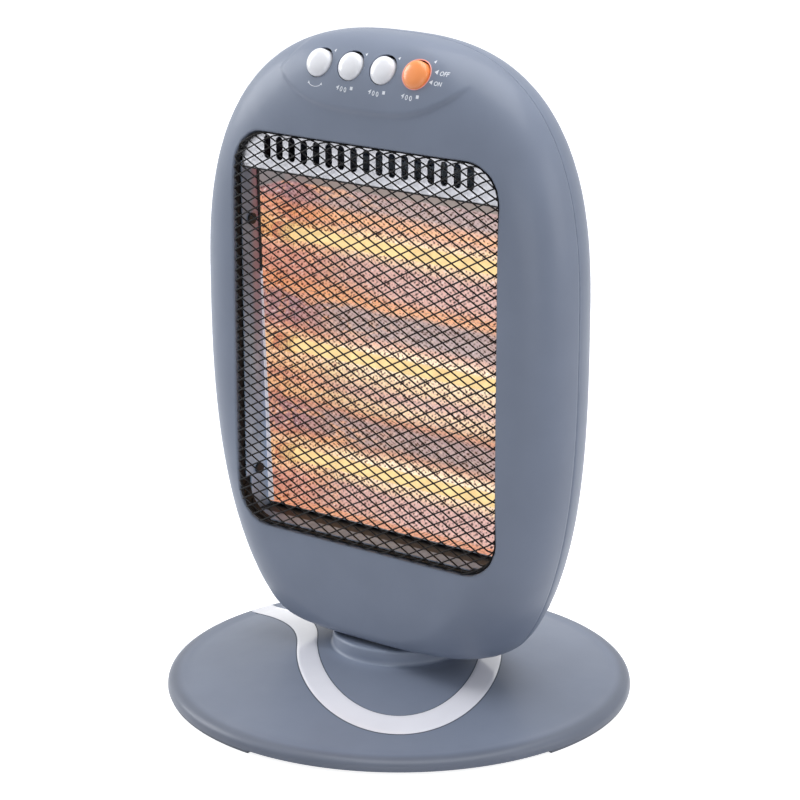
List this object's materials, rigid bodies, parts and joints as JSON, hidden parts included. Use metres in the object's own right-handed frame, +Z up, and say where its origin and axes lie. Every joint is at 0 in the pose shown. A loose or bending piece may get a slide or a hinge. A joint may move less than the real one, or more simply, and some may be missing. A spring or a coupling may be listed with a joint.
{
  "type": "halogen heater",
  "caption": "Pillow-shaped heater head with glowing tubes behind a wire guard, rocker buttons on top, swinging on a round base with a pale looped strip.",
  "frame": {"origin": "centre of the round base, on the floor", "axes": "+Z up; the head faces -Y at rest, near one end of its swing; the base's own front is turned 37.6 degrees from -Y towards +X"},
  "size_m": [0.34, 0.34, 0.481],
  "materials": {
    "shell": "satin moulded plastic",
    "strip": "satin",
    "dark_plastic": "moulded",
    "black_plastic": "moulded",
    "white_cap": "polished",
    "orange_cap": "polished, lit from inside",
    "nylon": "moulded",
    "black_wire": "black powder coat",
    "galvanised": "galvanised sheet",
    "vent_sheet": "bright sheet",
    "mirror_sheet": "dimpled bright sheet",
    "steel": "zinc plated",
    "spring_steel": "bright",
    "black_screw": "blackened",
    "quartz": "clear quartz",
    "filament": "glowing coil",
    "ceramic": "unglazed",
    "brass": "plain",
    "wire_cover": "sleeving",
    "inlet_rubber": "moulded",
    "motor_case": "plain"
  },
  "bodies": {
    "base": {"base_cover": "shell", "base_plate": "dark_plastic", "base_feet": "dark_plastic", "base_screws": "steel", "base_strip": "strip", "cord_inlet": "inlet_rubber", "tip_spring": "spring_steel", "tip_switch": "black_plastic", "base_wires": "wire_cover", "bearing_washer": "nylon", "swing_motor": "motor_case", "motor_screws": "steel"},
    "head": {"swivel_hub": "dark_plastic", "hub_clip": "spring_steel", "swing_lug": "steel", "hub_screws": "steel", "front_shell": "shell", "rear_shell": "shell", "shell_screws": "steel", "guard_net": "black_wire", "guard_frame": "black_wire", "vent_panel": "vent_sheet", "left_side_wall": "galvanised", "right_side_wall": "galvanised", "side_wall_screws": "black_screw", "floor_plate": "galvanised", "reflector": "mirror_sheet", "heat_shield": "galvanised", "shield_screws": "steel", "upper_lamp_tube": "quartz", "middle_lamp_tube": "quartz", "lower_lamp_tube": "quartz", "upper_filament": "filament", "middle_filament": "filament", "lower_filament": "filament", "lamp_end_caps": "ceramic", "lamp_holders": "ceramic", "switch_bodies": "black_plastic", "switch_terminals": "brass", "thermal_cutout": "black_plastic", "terminal_block": "ceramic", "head_wires": "wire_cover"},
    "crank": {"motor_shaft": "nylon"},
    "link": {"crank_link": "steel"},
    "plunger": {"tip_plunger": "nylon"},
    "swing_rocker": {"swing_rocker": "white_cap"},
    "first_tube_rocker": {"first_tube_rocker": "white_cap"},
    "second_tube_rocker": {"second_tube_rocker": "white_cap"},
    "power_rocker": {"power_rocker": "orange_cap"}
  },
  "joints": [
    {"name": "head_swing", "type": "hinge", "parent": "base", "child": "head", "pos_m": [0, 0, 0.043], "axis": [0, 0, 1], "range_deg": [-2.4, 77.6]},
    {"name": "crank_turn", "type": "hinge", "parent": "base", "child": "crank", "pos_m": [0.03328, 0.02563, 0.0175], "axis": [0, 0, 1], "range_deg": [-5.4, 174.6]},
    {"name": "link_pivot", "type": "hinge", "parent": "crank", "child": "link", "pos_m": [0.02669, 0.01949, 0.0208], "axis": [0, 0, 1], "range_deg": [-174.6, 5.4]},
    {"name": "plunger_drop", "type": "slide", "parent": "base", "child": "plunger", "axis": [0, 0, -1], "range_m": [0, 0.005], "stiffness_N_per_m": 20, "springref_m": 0.0055, "deforming": ["tip_spring"]},
    {"name": "swing_press", "type": "hinge", "parent": "head", "child": "swing_rocker", "pos_m": [-0.04185, -0.02978, 0.45686], "axis": [1, 0, 0], "range_deg": [-14, 0]},
    {"name": "first_tube_press", "type": "hinge", "parent": "head", "child": "first_tube_rocker", "pos_m": [-0.01395, -0.02978, 0.45686], "axis": [1, 0, 0], "range_deg": [-14, 0]},
    {"name": "second_tube_press", "type": "hinge", "parent": "head", "child": "second_tube_rocker", "pos_m": [0.01395, -0.02978, 0.45686], "axis": [1, 0, 0], "range_deg": [-14, 0]},
    {"name": "power_press", "type": "hinge", "parent": "head", "child": "power_rocker", "pos_m": [0.04185, -0.02978, 0.45686], "axis": [1, 0, 0], "range_deg": [-14, 0]}
  ],
  "couplings": [
    {"joint": "crank_turn", "follows": "head_swing", "ratio": 2.25},
    {"joint": "link_pivot", "follows": "head_swing", "ratio": -2.25}
  ]
}
